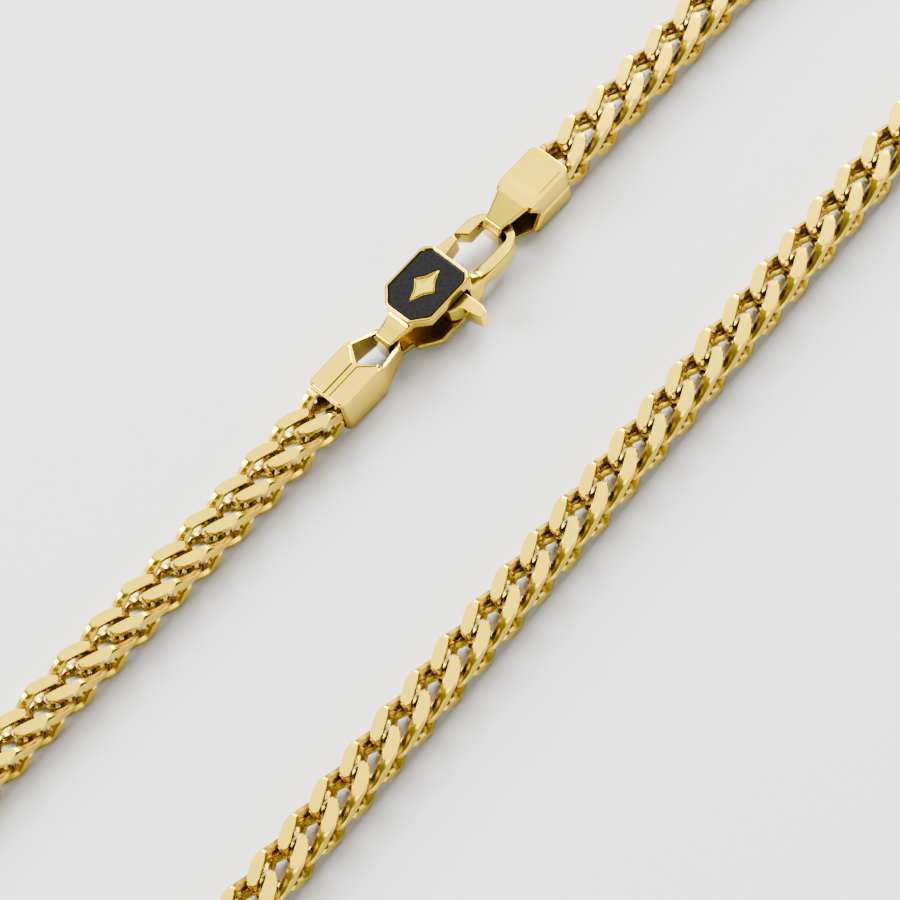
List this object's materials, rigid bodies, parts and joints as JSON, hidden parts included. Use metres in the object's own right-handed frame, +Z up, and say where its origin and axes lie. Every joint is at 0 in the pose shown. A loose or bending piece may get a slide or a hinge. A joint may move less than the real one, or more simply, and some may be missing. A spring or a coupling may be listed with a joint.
{
  "type": "franco chain necklace",
  "caption": "Square franco chain necklace laid flat as a long loop, with folded end caps and a lobster clasp whose sprung lever opens the gate.",
  "frame": {"origin": "on the surface the necklace lies on, under the middle of its box", "axes": "+X along the clasp and its run of the chain, from the rear cap to the front cap; +Y towards that run; +Z up"},
  "size_m": [0.2686, 0.036, 0.0048],
  "materials": {
    "chain_gold": "polished gold-tone links with flat cut faces",
    "fitting_gold": "polished gold-tone sheet and castings",
    "black_enamel": "black enamel with a slightly stippled floor"
  },
  "bodies": {
    "necklace": {"chain": "chain_gold", "rear_cap": "fitting_gold", "front_cap": "fitting_gold", "clasp_body": "fitting_gold", "plaque_enamel": "black_enamel"},
    "lever": {"clasp_lever": "fitting_gold"}
  },
  "joints": [
    {"name": "lever_hinge", "type": "hinge", "parent": "necklace", "child": "lever", "pos_m": [0.00158, 0.01521, 0.00235], "axis": [0, 0, -1], "range_deg": [0, 20], "stiffness_Nm_per_rad": 0.01, "springref_deg": -17.19}
  ]
}
